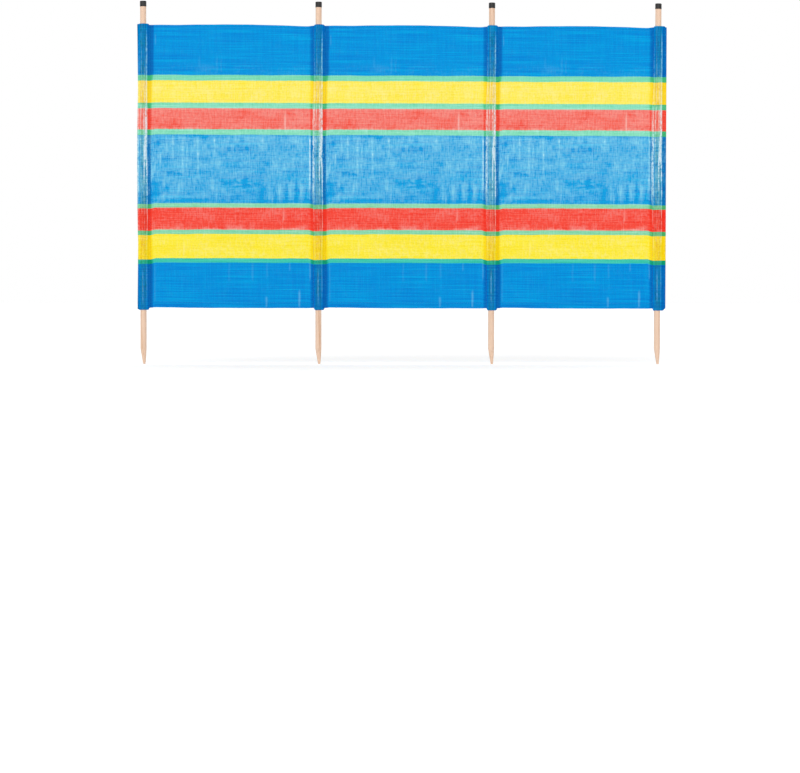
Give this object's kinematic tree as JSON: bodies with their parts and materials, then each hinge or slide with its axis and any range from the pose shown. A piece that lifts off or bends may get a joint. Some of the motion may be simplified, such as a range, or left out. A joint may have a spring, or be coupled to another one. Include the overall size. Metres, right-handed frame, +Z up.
{
  "type": "beach windbreak",
  "caption": "Striped cloth windbreak whose bays are held upright between pointed wooden poles pushed into sand.",
  "frame": {"origin": "on the blunt foot of pole 2, in line with that pole's shank", "axes": "+X along the windbreak to the right as seen from the front, front faces -Y, +Z up the poles"},
  "size_m": [2.1925, 0.0276, 1.502],
  "materials": {
    "pole_wood": "planed and unvarnished softwood dowel",
    "cloth": "laminated woven plastic cloth with blue, green, yellow and red stripes across, slight gloss",
    "cap_plastic": "moulded black plastic, satin"
  },
  "bodies": {
    "middle_bay": {"pole_2": "pole_wood", "cap_2": "cap_plastic", "pocket_2": "cloth", "pole_3": "pole_wood", "cap_3": "cap_plastic", "pocket_3": "cloth", "panel_2": "cloth", "margin_2_right": "cloth", "margin_3_left": "cloth", "top_hem_2": "cloth", "bottom_hem_2": "cloth"},
    "left_bay": {"pole_1": "pole_wood", "cap_1": "cap_plastic", "pocket_1": "cloth", "panel_1": "cloth", "margin_1_right": "cloth", "margin_2_left": "cloth", "top_hem_1": "cloth", "bottom_hem_1": "cloth"},
    "right_bay": {"pole_4": "pole_wood", "cap_4": "cap_plastic", "pocket_4": "cloth", "panel_3": "cloth", "margin_3_right": "cloth", "margin_4_left": "cloth", "top_hem_3": "cloth", "bottom_hem_3": "cloth"}
  },
  "joints": [
    {"name": "left_bay_swing", "type": "hinge", "parent": "middle_bay", "child": "left_bay", "pos_m": [0, 0, 0], "axis": [0, 0, 1], "range_deg": [-110, 110]},
    {"name": "right_bay_swing", "type": "hinge", "parent": "middle_bay", "child": "right_bay", "pos_m": [0.72, 0, 0], "axis": [0, 0, -1], "range_deg": [-110, 110]}
  ]
}
